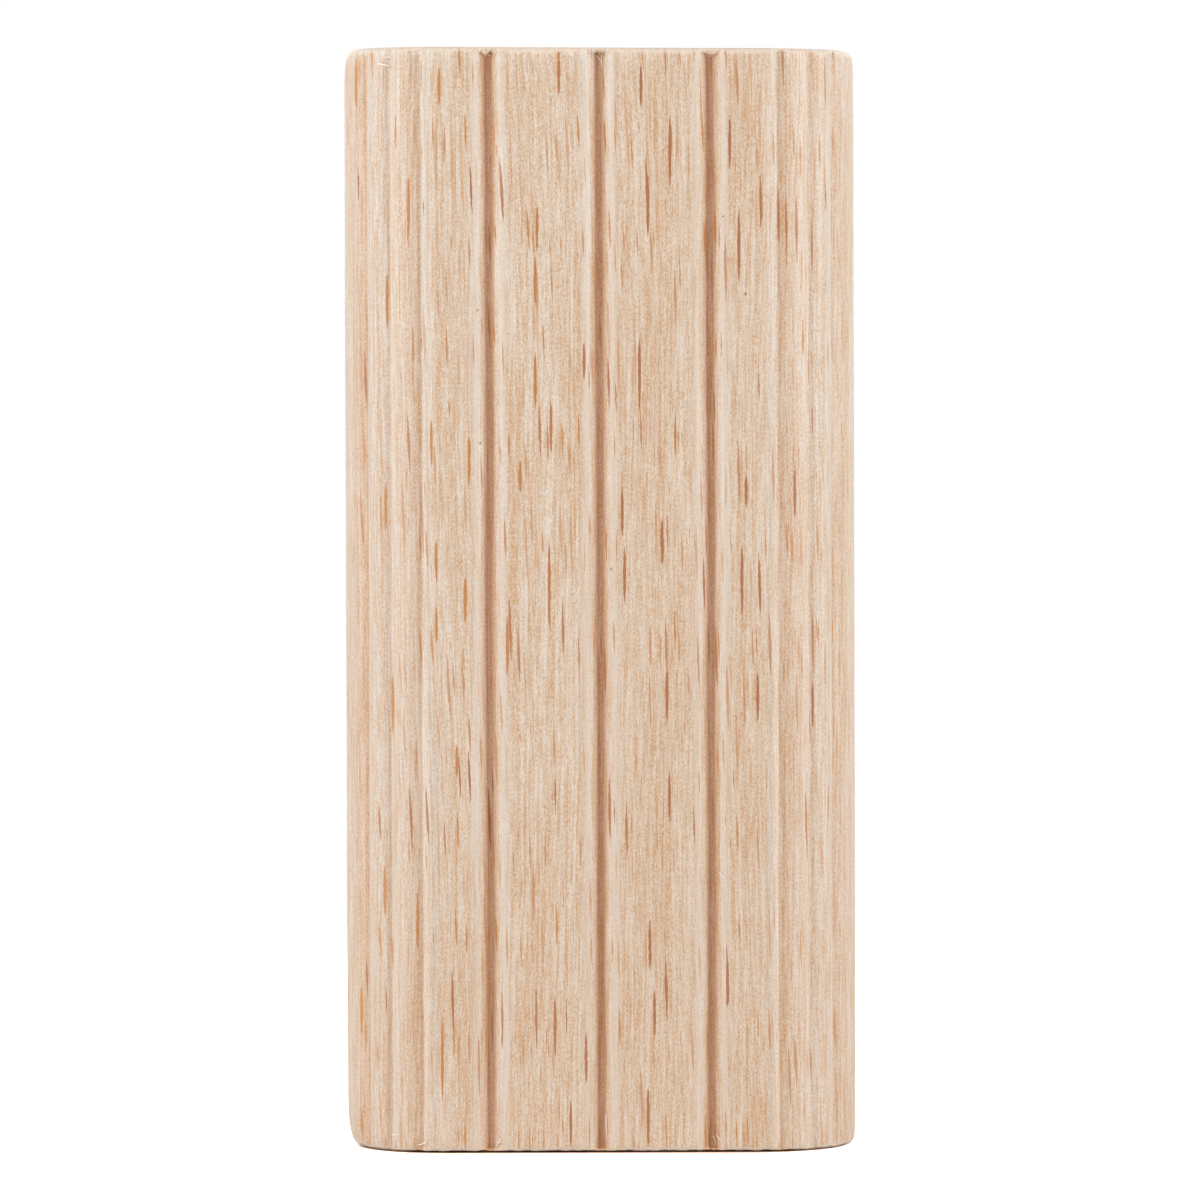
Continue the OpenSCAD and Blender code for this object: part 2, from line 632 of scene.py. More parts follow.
place = wood.add("ShaderNodeTexCoord").outputs["Object"]
place = wood.vector("MULTIPLY", place, (1 / MM, 1 / MM, 1 / MM))
sway = wood.add("ShaderNodeTexNoise", Scale=1.0, Detail=0.0,
                Vector=wood.vector("DIVIDE", place, SWAY_SIZE)).outputs["Color"]
sway = wood.vector("SUBTRACT", sway, (0.5, 0.5, 0.5))
grain_place = wood.vector("MULTIPLY_ADD", sway, (SWAY, SWAY, 0.0), place)
axes = wood.add("ShaderNodeSeparateXYZ", Vector=grain_place).outputs
height = axes["Z"]
print("the grain sways by", SWAY / 2, "mm to each side at most")

# %% [markdown]
# ## Growth rings
#
# The cheeks are cut nearly flat to the rings, so a ring shows there only as a
# slow change of tone, while on the sawn ends the same rings are arcs. One
# formula makes both: distance from a far-off pith, with a wobble, taken over
# and over with a modulo.

# %% Growth rings
RING_WIDTH = 2.3
RING_BEND = 0.013
RING_CENTRE_X = 5.0
RING_WOBBLE = 2.2
WOBBLE_SIZE = (7.0, 45.0)
# The late wood darkens slowly over each ring and stops short at its end
LATE_RISE = (0.45, 0.93)
LATE_STOP = (1.0, 0.94)

off_centre = wood.maths("SUBTRACT", axes["X"], RING_CENTRE_X)
bend = wood.maths("MULTIPLY", wood.maths("MULTIPLY", off_centre, off_centre), RING_BEND)
wobble = wood.maths("MULTIPLY", wood.grain(place, *WOBBLE_SIZE), RING_WOBBLE)
ring_age = wood.maths("ADD", wood.maths("ADD", axes["Y"], bend), wobble)
ring_phase = wood.maths("FRACT", wood.maths("DIVIDE", ring_age, RING_WIDTH))
late_wood = wood.maths("MULTIPLY", wood.ramp(ring_phase, *LATE_RISE),
                       wood.ramp(ring_phase, *LATE_STOP))
print("about", round(THICKNESS / MM / RING_WIDTH), "rings through the slip")

# %% [markdown]
# ## Fibres
#
# Between its rays the wood is a bundle of fibres: chalky ones that stand up and
# catch the light, and tan ones that lie deeper. They are never one size. One
# noise with many octaves would stretch all of its detail alike, so the pattern
# is a sum of noises with their own stretch and strength, from slow bands nearly
# two millimetres wide to hairs of a twentieth of a millimetre.

# %% Fibre pattern
# Width and length of the streaks in millimetres, and how strongly they count
FIBRE_LAYERS = [
    (1.80, 12.0, 0.22),
    (0.46, 16.0, 0.28),
    (0.15, 13.0, 0.44),
    (0.42, 2.6, 0.20),
    (0.11, 3.2, 0.74),
    (0.40, 0.40, 0.20),
    (0.055, 1.2, 1.15),
    (0.06, 0.11, 1.50),
]

# Layers finer than this get one octave more
HAIR_WIDTH = 0.1

fibres = 0.5
layer_outputs = []
for across, along, strength in FIBRE_LAYERS:
    layer = wood.grain(grain_place, across, along, 1.0 if across < HAIR_WIDTH else 0.0)
    swing = wood.maths("SUBTRACT", layer, 0.5)
    fibres = wood.maths("MULTIPLY_ADD", swing, strength, fibres)
    layer_outputs.append(layer)
print(len(FIBRE_LAYERS), "layers of fibres")

# %% [markdown]
# ## Rays
#
# Beech is known by its rays: thin plates of soft cells that run from the pith
# outwards. On a cheek they are cut across and show as brown, lens-shaped flecks
# a few millimetres tall. A Voronoi texture scatters one centre in each cell, and
# the stretch along the grain turns the shape round it into a lens. The texture
# ignores Y, so each fleck is a plate that goes through the slip, and the rounded
# edges and the sawn ends cut it as they should.

# %% Scattered rays
RAY_SHEAR = 0.03
RAY_TILT = 0.10
RAGGED_SIZE = (0.07, 0.28)
RAGGED_EDGE = 0.06
# With an exponent of 2 the flecks would be ovals, and below it they are pointed
POINTEDNESS = 1.25
SOLID_SHARE = 0.8
# Width and height of a cell in millimetres, the smallest and the largest ray as
# a share of it, and a seed
LARGE_FAMILY = (0.40, 9.0, 0.02, 0.19, 3.0)
SMALL_FAMILY = (0.24, 4.5, 0.02, 0.24, 11.0)

ragged = wood.maths("SUBTRACT", wood.grain(place, *RAGGED_SIZE), 0.5)
ray_x = wood.maths("MULTIPLY_ADD", ragged, RAGGED_EDGE, axes["X"])
ray_x = wood.maths("MULTIPLY_ADD", height, RAY_SHEAR, ray_x)
through_x = wood.maths("MULTIPLY_ADD", axes["Y"], RAY_TILT, ray_x)


def scattered_rays(across, along, smallest, largest, seed):
    """Mask of one family of rays, and a random number for each ray."""
    x = wood.maths("MULTIPLY_ADD", through_x, 1 / across, seed)
    z = wood.maths("MULTIPLY_ADD", height, 1 / along, seed * 1.7)
    cells = wood.add("ShaderNodeTexVoronoi",
                     {"voronoi_dimensions": "2D", "distance": "MINKOWSKI"},
                     Vector=wood.add("ShaderNodeCombineXYZ", X=x, Y=z).outputs[0],
                     Scale=1.0, Randomness=1.0, Exponent=POINTEDNESS)
    dice = wood.add("ShaderNodeSeparateColor", Color=cells.outputs["Color"]).outputs
    size = wood.ramp(dice[0], 0.1, 1.0, smallest, largest)
    inner = wood.maths("MULTIPLY", size, SOLID_SHARE)
    return wood.ramp(cells.outputs["Distance"], inner, size, 1.0, 0.0), dice[1]


large_rays, large_dice = scattered_rays(*LARGE_FAMILY)
small_rays, small_dice = scattered_rays(*SMALL_FAMILY)
print("widest scattered ray", round(2 * LARGE_FAMILY[0] * LARGE_FAMILY[3], 2), "mm")

# %% [markdown]
# ## The boldest rays
#
# A few rays stand out in any piece of beech, and they give it its own face.
# Chance would put them anywhere, so the boldest ones on the front are listed one
# by one, each by its middle and half its length, and the nearest one counts. They
# are plates too, but only the front may show them, so they fade out inside.

# %% Rays placed one by one
BOLD_HALF_WIDTH = 0.072
BOLD_RAGGED = 0.07
BOLD_EDGE = (0.80, 1.08)
# Depths in Y between which the marks of the front fade in
FRONT_FADE = (-0.5, -2.0)
# Place across, height of the middle and half the length, in millimetres
BOLD_RAYS = [
    (-11.0, 48.4, 1.2), (-1.8, 48.8, 1.1), (-7.2, 48.2, 0.9), (1.9, 48.2, 1.0),
    (3.2, 45.2, 1.7), (2.2, 42.8, 1.5), (-2.8, 41.8, 1.1), (-8.6, 42.8, 1.4),
    (5.9, 45.6, 1.2), (6.3, 40.9, 1.7), (-2.9, 39.4, 1.1), (-9.6, 38.5, 1.3),
    (-2.9, 34.9, 1.3), (-0.7, 35.8, 0.9), (1.8, 35.2, 1.7), (-2.2, 32.8, 1.2),
    (-3.6, 30.6, 0.8), (-5.9, 31.3, 1.2), (-7.6, 32.1, 1.1), (-2.3, 25.7, 2.0),
    (-9.7, 29.2, 1.2), (1.0, 29.0, 1.2), (1.1, 26.1, 1.3), (2.8, 27.6, 1.1),
    (6.6, 29.9, 0.8), (6.4, 25.9, 1.7), (-7.4, 26.8, 1.0), (-6.1, 25.0, 1.1),
    (8.8, 29.8, 1.2), (-7.4, 23.9, 0.9), (-4.2, 22.9, 1.4), (3.0, 20.7, 1.3),
    (7.1, 20.6, 1.2), (-9.4, 20.3, 1.4), (3.1, 16.1, 1.2), (9.6, 20.2, 1.1),
    (-9.8, 11.8, 1.2), (-8.3, 10.5, 1.4), (2.2, 9.4, 1.2), (-7.2, 4.3, 2.0),
    (-10.9, 6.3, 1.2), (-2.1, 5.7, 1.4), (2.4, 6.3, 1.1), (-0.7, 4.3, 1.2),
    (5.7, 7.6, 1.1), (2.1, 1.6, 1.4), (-1.4, 1.3, 1.1), (-6.5, 17.7, 0.8),
]

ragged_shift = wood.add("ShaderNodeCombineXYZ", X=ragged, Y=0.0, Z=0.0).outputs[0]
ragged_place = wood.vector("MULTIPLY_ADD", ragged_shift, (BOLD_RAGGED, 0.0, 0.0), place)


def nearest_mark(marks, half_width):
    """1 at the rim of the nearest mark, less inside it and at most 10 outside."""
    nearest = 10.0
    for x, z, half_length in marks:
        scale = (1 / half_width, 0.0, 1 / half_length)
        middle = (-x / half_width, 0.0, -z / half_length)
        lens = wood.vector("LENGTH", wood.vector("MULTIPLY_ADD", ragged_place, scale, middle))
        nearest = wood.maths("MINIMUM", lens, nearest)
    return nearest


front = wood.ramp(axes["Y"], *FRONT_FADE)
bold_rays = wood.ramp(nearest_mark(BOLD_RAYS, BOLD_HALF_WIDTH), *BOLD_EDGE, 1.0, 0.0)
bold_rays = wood.maths("MULTIPLY", bold_rays, front)
print(len(BOLD_RAYS), "bold rays")

# %% [markdown]
# ## Specks and stains
#
# A few dark specks of bark and two faint pinkish stains came with the board.
# They are small, but a clean surface with nothing on it looks printed. They are
# round, which is a ray with a length near its width, so the same helper serves.

# %% Specks and stains on the front
# Half the width, then place across, height and half the length, in millimetres
SPECK_SIZE = 0.05
SPECKS = [
    (-5.5, 38.1, 0.06), (5.6, 42.3, 0.05), (6.6, 38.8, 0.07), (-5.4, 32.1, 0.05),
    (0.5, 26.4, 0.06),
]
STAIN_SIZE = 0.55
STAINS = [(-5.8, 36.1, 0.8), (2.3, 32.7, 0.7)]
SPECK_EDGE = (0.6, 1.2)
STAIN_EDGE = (0.2, 1.3)

specks = wood.ramp(nearest_mark(SPECKS, SPECK_SIZE), *SPECK_EDGE, 1.0, 0.0)
specks = wood.maths("MULTIPLY", specks, front)
stains = wood.ramp(nearest_mark(STAINS, STAIN_SIZE), *STAIN_EDGE, 1.0, 0.0)
stains = wood.maths("MULTIPLY", stains, front)
print(len(SPECKS), "specks and", len(STAINS), "stains")

# %% [markdown]
# ## Faces cut across the grain
#
# End grain is deeper in colour than the long faces, and between the two, on the
# eased corner, broken fibre ends make the wood look chalky. On the narrow edges
# a ray lies almost flat in the surface and shows its pale side, so the rays are
# weaker there. The ends could have a material of their own, but a hard line
# would run round it. So the direction of the surface tells the faces apart.

# %% End grain, eased corners and the flat side of the rays
PORE_SIZE = 0.08
# Pores line up along the rays, so they are drawn out through the thickness
PORE_STRETCH = (1.0, 0.25, 1.0)
PORE_EDGE = (0.50, 0.66)
# Heights between which the nearer end changes from the lower to the upper
MIDDLE = (24.0, 26.0)
# How steeply the surface faces the end where each of these comes and goes
END_STEEP = (0.88, 0.98)
CORNER_RISE = (0.10, 0.45)
CORNER_FALL = (0.995, 0.93)
EDGE_ON = (0.80, 0.96)
EDGE_ON_SHARE = 0.30

normal = wood.add("ShaderNodeNewGeometry").outputs["Normal"]
outward = wood.add("ShaderNodeSeparateXYZ", Vector=normal).outputs
towards_end = wood.ramp(height, *MIDDLE, -1.0, 1.0)
steep = wood.maths("MULTIPLY", outward["Z"], towards_end)
end_grain = wood.ramp(steep, *END_STEEP)
broken_corner = wood.maths("MULTIPLY", wood.ramp(steep, *CORNER_RISE),
                           wood.ramp(steep, *CORNER_FALL))
end_place = wood.vector("MULTIPLY", place, PORE_STRETCH)
end_pores = wood.ramp(wood.grain(end_place, PORE_SIZE, PORE_SIZE), *PORE_EDGE)
edge_on = wood.ramp(wood.maths("ABSOLUTE", outward["X"]), *EDGE_ON, 1.0, EDGE_ON_SHARE)
print("pores of the end grain about", PORE_SIZE, "mm wide")

# %% [markdown]
# ## Tones and tints
#
# The named tones are screen colours, so they can be checked with a colour
# picker. A tint is different: it multiplies the red, green and blue that are
# already there, so it shades the wood and keeps the fibres under it.

# %% Tones and tints
def tone(red, green, blue):
    """A colour as it is seen on screen, 0 to 255, made linear for the shaders."""
    screen = [v / 255 for v in (red, green, blue)]
    return [v / 12.92 if v < 0.04 else ((v + 0.055) / 1.055) ** 2.4 for v in screen] + [1]


def tinted(base, amount, tint):
    """The base colour times a tint, where the amount is 1."""
    return wood.vector("MULTIPLY", base, wood.blend(amount, (1, 1, 1, 1), tint))


TAN = tone(198, 152, 108)
STRAW = tone(211, 187, 162)
CHALKY = tone(225, 211, 197)
FROST = tone(240, 232, 224)
RAY_ORANGE = tone(188, 124, 58)
RAY_BROWN = tone(164, 100, 56)
CHALK = tone(222, 206, 188)
STAIN_PINK = tone(205, 166, 160)
SPECK_BROWN = tone(110, 78, 58)
END_TONE = tone(198, 160, 124)
END_PORE = tone(142, 104, 76)
LATE = tone(190, 150, 116)

# Paler and cooler on the lips: partly burnish, partly a painted highlight of the crests
LIP_PALE_AND_HIGHLIGHT_TINT = (1.01, 1.10, 1.22, 1)
# Painted shade in the bottoms of the grooves
GROOVE_SHADE_TINT = (1.04, 0.82, 0.68, 1)
# Painted shade on the walls of the flutes
SHADE_TINT = (0.93, 0.76, 0.62, 1)
# Painted cooler tone of the rounded edges, less red where the lamps light them
EDGE_HIGHLIGHT_TINT = (0.92, 0.975, 1.04, 1)
# Painted shade on the ridge where a cheek turns into its edge
RIDGE_SHADE_TINT = (0.91, 0.96, 1.00, 1)
BOARD_TINT = (0.975, 0.955, 0.93, 1)
# Paler near the upper end: loose fibres, and a painted highlight of the eased end
TOP_FUZZ_AND_LIGHT_TINT = (1.05, 1.10, 1.15, 1)
# Painted light on the underside of the torn web, against its shadow
WEB_LIGHT_TINT = (1.20, 1.00, 0.80, 1)
# Painted shadow along the foot of the slip
FOOT_SHADOW_TINT = (0.09, 0.05, 0.04, 1)
print("straw is", [round(v, 2) for v in STRAW[:3]], "in linear light")

# %% [markdown]
# ## Plain wood
#
# The sum of the fibre layers picks a tone between tan, straw and chalky. Mixing
# whole textures would blur them, but one scale of tones keeps every hair crisp.
# Late wood pulls it a little towards tan. A fine frost of torn fibre ends, which
# no sander has touched, catches the light as pale crumbs.

# %% Colour of the plain wood
LATE_DIP = -0.06
FROST_SIZE = (0.05, 0.09)
FROST_EDGE = (0.60, 0.70)
FROST_SHARE = 0.35

fibres = wood.maths("MULTIPLY_ADD", late_wood, LATE_DIP, fibres)
scale = wood.add("ShaderNodeValToRGB", Fac=fibres)
scale.color_ramp.elements[0].color = TAN
scale.color_ramp.elements[1].color = CHALKY
scale.color_ramp.elements.new(0.5).color = STRAW
frost = wood.ramp(wood.grain(place, *FROST_SIZE), *FROST_EDGE)
frost = wood.maths("MULTIPLY", frost, FROST_SHARE)
colour = wood.blend(frost, scale.outputs["Color"], FROST)
print(len(scale.color_ramp.elements), "tones in the scale of the wood")

# %% [markdown]
# ## Knife marks, board drift and painted light
#
# The marks that the skin carries are read here. The lips are paler and calmer,
# partly burnished and partly with a painted highlight, and painted shade deepens
# the grooves and the walls of the flutes. The rounded edges get a painted cooler
# tone where the lamps light them, the wood is warmer on the right, as a board
# always drifts a little, and painted shade dulls the ridge where a cheek turns
# into its edge.

# %% Tint the lips, grooves, flutes and edges
LIP_SMOOTH = 0.60
# Millimetres from the middle, or across it, between which each tint comes in
EDGE_FADE = (7.5, 10.5)
RIDGE_RISE = (7.5, 7.8)
RIDGE_FALL = (8.05, 7.9)
BOARD_FADE = (-2.5, 1.0)


def marked(name):
    """Reads one of the marks that the skin carries."""
    return wood.add("ShaderNodeAttribute", {"attribute_name": name}).outputs["Fac"]


lips = marked("lip")
colour = wood.blend(wood.maths("MULTIPLY", lips, LIP_SMOOTH), colour, STRAW)
# The lips get their burnished paleness and a painted highlight
colour = tinted(colour, lips, LIP_PALE_AND_HIGHLIGHT_TINT)
# Painted shade in the bottoms of the grooves
colour = tinted(colour, marked("core"), GROOVE_SHADE_TINT)
# Painted shade on the walls of the flutes
colour = tinted(colour, marked("shade"), SHADE_TINT)
off_middle = wood.maths("ABSOLUTE", axes["X"])
ridge = wood.maths("MULTIPLY", wood.ramp(off_middle, *RIDGE_RISE),
                   wood.ramp(off_middle, *RIDGE_FALL))
# Painted cooler tone where the lamps light the rounded edges
colour = tinted(colour, wood.ramp(off_middle, *EDGE_FADE), EDGE_HIGHLIGHT_TINT)
# Painted shade dulls the ridge where a cheek turns into its edge
colour = tinted(colour, ridge, RIDGE_SHADE_TINT)
colour = tinted(colour, wood.ramp(axes["X"], *BOARD_FADE), BOARD_TINT)
print("lips are evened out by", round(LIP_SMOOTH * 100), "%")

# %% [markdown]
# ## Rays and marks over the fibres
#
# Each scattered ray takes its strength from its own random number, so that a few
# are bold and most are faint. The bold ones turn from orange on the left to brown
# on the right. Stains and specks lie over all of them.

# %% Lay the rays, stains and specks on
SMALL_STRENGTH = (0.15, 0.95)
LARGE_STRENGTH = (0.45, 1.0)
BROWNING = (-6.0, 1.0)
# The lower the wood, the more tan there is in it, up to this share
LOW_TAN_SHARE = 0.08
STAIN_SHARE = 0.30
SPECK_SHARE = 0.8

small_strength = wood.ramp(small_dice, 0.2, 1.0, *SMALL_STRENGTH)
small_strength = wood.maths("MULTIPLY", small_strength, edge_on)
colour = wood.blend(wood.maths("MULTIPLY", small_rays, small_strength), colour, RAY_ORANGE)
large_strength = wood.ramp(large_dice, 0.0, 1.0, *LARGE_STRENGTH)
large_strength = wood.maths("MULTIPLY", large_strength, edge_on)
large_tone = wood.blend(large_dice, RAY_ORANGE, RAY_BROWN)
colour = wood.blend(wood.maths("MULTIPLY", large_rays, large_strength), colour, large_tone)
bold_tone = wood.blend(wood.ramp(axes["X"], *BROWNING), RAY_ORANGE, RAY_BROWN)
colour = wood.blend(bold_rays, colour, bold_tone)
low_down = wood.ramp(height, LENGTH / MM, 0.0)
colour = wood.blend(wood.maths("MULTIPLY", low_down, LOW_TAN_SHARE), colour, TAN)
colour = wood.blend(wood.maths("MULTIPLY", stains, STAIN_SHARE), colour, STAIN_PINK)
colour = wood.blend(wood.maths("MULTIPLY", specks, SPECK_SHARE), colour, SPECK_BROWN)
print(len(wood.tree.nodes), "nodes so far")

# %% [markdown]
# ## Ends and foot
#
# The last half millimetre under the upper end is paler, partly from loose fibres
# and partly a painted highlight where the eased end turns up to the lamps, and
# the sawn ends get the colours of end grain. The very foot of the slip is in its
# own deep shadow on the table, and that shadow is painted on as a thin, wavering
# dark line.

# %% Colour of the ends and the foot
TOP_BAND = (49.1, 49.9)
CHALK_SHARE = 0.6
END_PORE_SHARE = 0.7
END_LATE_SHARE = 0.5
# Heights at which the dark line starts and is full, and how much they waver
FOOT_HEIGHT = (0.13, 0.08)
FOOT_WAVE = 0.12
FOOT_WAVE_SIZE = (0.5, 0.5)
# The line is fainter round the edges, where more light gets in
FOOT_EDGE = (8.5, 10.2)
FOOT_EDGE_SHARE = 0.45

# Loose fibres and a painted highlight make the band under the upper end paler
colour = tinted(colour, wood.ramp(height, *TOP_BAND), TOP_FUZZ_AND_LIGHT_TINT)
colour = wood.blend(wood.maths("MULTIPLY", broken_corner, CHALK_SHARE), colour, CHALK)
# Painted light on the underside of the torn web
colour = tinted(colour, marked("web"), WEB_LIGHT_TINT)
end_colour = wood.blend(wood.maths("MULTIPLY", end_pores, END_PORE_SHARE), END_TONE, END_PORE)
end_colour = wood.blend(wood.maths("MULTIPLY", late_wood, END_LATE_SHARE), end_colour, LATE)
end_colour = wood.blend(wood.maths("MULTIPLY", large_rays, CHALK_SHARE), end_colour, CHALK)
colour = wood.blend(end_grain, colour, end_colour)

foot_wave = wood.maths("SUBTRACT", wood.grain(place, *FOOT_WAVE_SIZE), 0.5)
foot_height = wood.maths("MULTIPLY_ADD", foot_wave, -FOOT_WAVE, height)
in_foot_shadow = wood.ramp(foot_height, *FOOT_HEIGHT)
foot = wood.maths("MULTIPLY", in_foot_shadow,
                  wood.ramp(off_middle, *FOOT_EDGE, 1.0, FOOT_EDGE_SHARE))
# The painted contact shadow along the foot
colour = tinted(colour, foot, FOOT_SHADOW_TINT)
print("the foot line is", FOOT_HEIGHT[0], "mm high")

# %% [markdown]
# ## Surface
#
# The smallest fibres are too fine for the mesh, so they are bump. The lips are
# burnished by the knives and a little smoother than the planed wood. The gloss
# of bare planed wood is weak but real, and it whitens the crests that turn
# towards the light. The open pores of the sawn ends have hardly any.

# %% Surface of the wood
THREAD_LAYER, HAIR_LAYER = 4, 6
THREAD_BUMP = 0.6
RAY_BUMP = -0.2
BUMP_STRENGTH = 0.35
BUMP_HEIGHT = 0.02 * MM
GLOSS, END_GLOSS_SHARE = 0.8, 0.3
WOOD_ROUGHNESS, LIP_ROUGHNESS = 0.55, 0.45

bumps = wood.maths("MULTIPLY_ADD", layer_outputs[THREAD_LAYER], THREAD_BUMP,
                   layer_outputs[HAIR_LAYER])
bumps = wood.maths("MULTIPLY_ADD", large_rays, RAY_BUMP, bumps)
bump = wood.add("ShaderNodeBump", Strength=BUMP_STRENGTH, Distance=BUMP_HEIGHT, Height=bumps)
gloss = wood.maths("MULTIPLY", wood.ramp(in_foot_shadow, 0.0, 1.0, GLOSS, 0.0),
                   wood.ramp(end_grain, 0.0, 1.0, 1.0, END_GLOSS_SHARE))
roughness = wood.ramp(lips, 0.0, 1.0, WOOD_ROUGHNESS, LIP_ROUGHNESS)
skin = wood.add("ShaderNodeBsdfPrincipled", Base_Color=colour, IOR=1.5,
                Normal=bump.outputs[0], Specular_IOR_Level=gloss, Roughness=roughness)
wood.add("ShaderNodeOutputMaterial", Surface=skin.outputs[0])
mesh.materials.append(beech)
print(len(wood.tree.nodes), "nodes in", beech.name)

# %% [markdown]
# ## Riding on the frame
#
# The CAD solid stays in the model for collision, and the new skin is shown in
# its place.

# %% Stand in for the CAD solid
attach(tenon, "root")
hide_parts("tenon")
print(tenon.name, "stands in for the solid")

# %% [markdown]
# ## Loose fibres
#
# The saw leaves whiskers of wood at the mouths of the grooves, and a hair or
# two stays further down. Each is a thin tube that follows a curved line from a
# root, so it catches the light and casts a shadow, which a painted line
# wouldn't. A hair particle system makes whiskers too, but these few have to lie
# in chosen places.

# %% Where the whiskers lie
# Root x and z, length, direction and curl in degrees, and radius, the rest in mm
WHISKERS = [
    (-9.98, 49.27, 0.55, -18, 10, 0.070), (-9.70, 49.52, 0.34, 20, -60, 0.040),
    (-5.30, 49.78, 0.60, -15, 60, 0.045), (-5.05, 49.72, 0.40, -60, 90, 0.035),
    (-4.65, 49.78, 0.45, -160, -60, 0.038), (-0.30, 49.65, 0.80, -20, -70, 0.032),
    (0.20, 49.80, 0.75, -110, 40, 0.030), (0.35, 49.70, 0.40, -60, 80, 0.025),
    (4.85, 49.80, 0.45, -30, 60, 0.030), (5.20, 49.80, 0.35, -130, -60, 0.028),
    (5.35, 12.70, 0.55, -60, 30, 0.022), (0.20, 1.70, 1.20, -92, 8, 0.035),
    (-4.85, 0.50, 0.40, -30, 150, 0.032), (-4.75, 0.28, 0.40, 100, -160, 0.030),
    (5.20, 0.85, 0.45, -80, 60, 0.034), (5.05, 0.70, 0.50, -60, -50, 0.030),
    (-9.50, 0.78, 0.38, -10, 40, 0.030), (-8.30, 0.35, 0.40, 10, 30, 0.034),
]
print(len(WHISKERS), "whiskers, the longest", max(w[2] for w in WHISKERS), "mm")

# %% [markdown]
# ## The line of a whisker
#
# A whisker starts in the wood and arches over it. Rays could be cast at the mesh
# to find where the wood is, but the depth of the cuts is already a function, so
# it is asked again. A line may not come out past the cheeks, or the dressed slip
# would outgrow the CAD solid, so the whiskers lie in the grooves and flutes.

# %% A curved line over the front
TUBE_STEPS = 12
# A line starts at least this far behind the cheeks, to stay in the solid's box
BOX_ROOM = 0.17 * MM
# Height over the wood at the root, and how much the middle arches above that
ROOT_HEIGHT = 0.05 * MM
ARCH = 0.07 * MM


def skin_front(x):
    """How far forward the grooved front reaches at a given x."""
    if abs(x) <= CHEEK_HALF:
        station = x
    else:
        turn = math.asin(min((abs(x) - CHEEK_HALF) / EDGE_R, 1))
        station = math.copysign(CHEEK_HALF + EDGE_R * turn, x)
    station = np.array([station])
    point, normal = stadium(station)
    return (point - normal * cut_depth(station)[:, None])[0, 1]


def whisker_line(x, z, length, heading, curl):
    """Points along a curved fibre that lies on the front."""
    line = []
    for step in range(TUBE_STEPS + 1):
        share = step / TUBE_STEPS
        angle = math.radians(heading + curl * share)
        wood_front = max(skin_front(x), -EDGE_R + BOX_ROOM)
        line.append((x, wood_front - ROOT_HEIGHT - ARCH * math.sin(math.pi * share), z))
        x += math.cos(angle) * length / TUBE_STEPS
        z += math.sin(angle) * length / TUBE_STEPS
    return np.array(line)


print("a groove's floor is at y", round(skin_front(0.0) / MM, 2), "mm")

# %% [markdown]
# ## Tubes along the lines
#
# Each line gets a five-sided tube that thins towards its tip. A curve object
# with a bevel would be quicker to write, but one mesh for all of the whiskers is
# one piece, with its ends closed. The faces are wound inwards, which a material
# that is the same from both sides doesn't show.

# %% Build the whiskers
TUBE_SIDES = 5
TIP_TAPER = 0.6
LOWEST, HIGHEST = 0.05 * MM, LENGTH - 0.12 * MM


def tube(line, radius, vertices, faces):
    """Adds a tapered tube round a line of points."""
    first = len(vertices)
    spin = np.linspace(0, 2 * math.pi, TUBE_SIDES, endpoint=False)
    tangent = np.gradient(line, axis=0)
    tangent /= np.linalg.norm(tangent, axis=1)[:, None]
    across = np.cross(tangent, (0, 1, 0))
    for step, (point, side) in enumerate(zip(line, across)):
        thin = radius * (1 - TIP_TAPER * step / TUBE_STEPS)
        ring = point + thin * (np.outer(np.cos(spin), side) + np.outer(np.sin(spin), (0, 1, 0)))
        vertices.extend(ring.tolist())
    for step in range(TUBE_STEPS):
        for k in range(TUBE_SIDES):
            a = first + step * TUBE_SIDES + k
            b = first + step * TUBE_SIDES + (k + 1) % TUBE_SIDES
            faces.append((a, b, b + TUBE_SIDES, a + TUBE_SIDES))
    last = first + TUBE_STEPS * TUBE_SIDES
    faces.append(tuple(range(first, first + TUBE_SIDES))[::-1])
    faces.append(tuple(range(last, last + TUBE_SIDES)))


tube_vertices, tube_faces = [], []
for x, z, length, heading, curl, radius in WHISKERS:
    line = whisker_line(x * MM, z * MM, length * MM, heading, curl)
    line[:, 2] = np.clip(line[:, 2], LOWEST, HIGHEST)
    tube(line, radius * MM, tube_vertices, tube_faces)
whisker_mesh = bpy.data.meshes.new("loose_fibres")
whisker_mesh.from_pydata(tube_vertices, [], tube_faces)
whisker_mesh.shade_smooth()
whiskers = bpy.data.objects.new("loose_fibres", whisker_mesh)
bpy.context.scene.collection.objects.link(whiskers)
print(len(tube_vertices), "vertices and", len(tube_faces), "faces in the whiskers")

# %% [markdown]
# ## Pale fibre
#
# A single torn fibre has no room for rays or growth rings. It lets light through
# and looks almost white, so a pale, matt finish is all that it needs.

# %% Finish of the whiskers
pale = bpy.data.materials.new("pale_fibre")
fibre_nodes = Nodes(pale)
fibre_skin = fibre_nodes.add("ShaderNodeBsdfPrincipled", Base_Color=tone(246, 238, 228),
                             Roughness=0.6)
fibre_nodes.add("ShaderNodeOutputMaterial", Surface=fibre_skin.outputs[0])
whisker_mesh.materials.append(pale)
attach(whiskers, "root")
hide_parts("tenon")
print("made material", pale.name)

# %% [markdown]
# ## The white table
#
# The slip stands on a white table in front of white paper. Both are brighter
# than the render can show, so they come out pure white, and only the deepest
# part of the shadow, right under the end, is seen. More light would spoil the
# wood, so the table's paint is made brighter for rays that come straight from
# the camera. Far from the slip it turns into a plain white glow.

# %% The table
TABLE_SIZE = 6.0

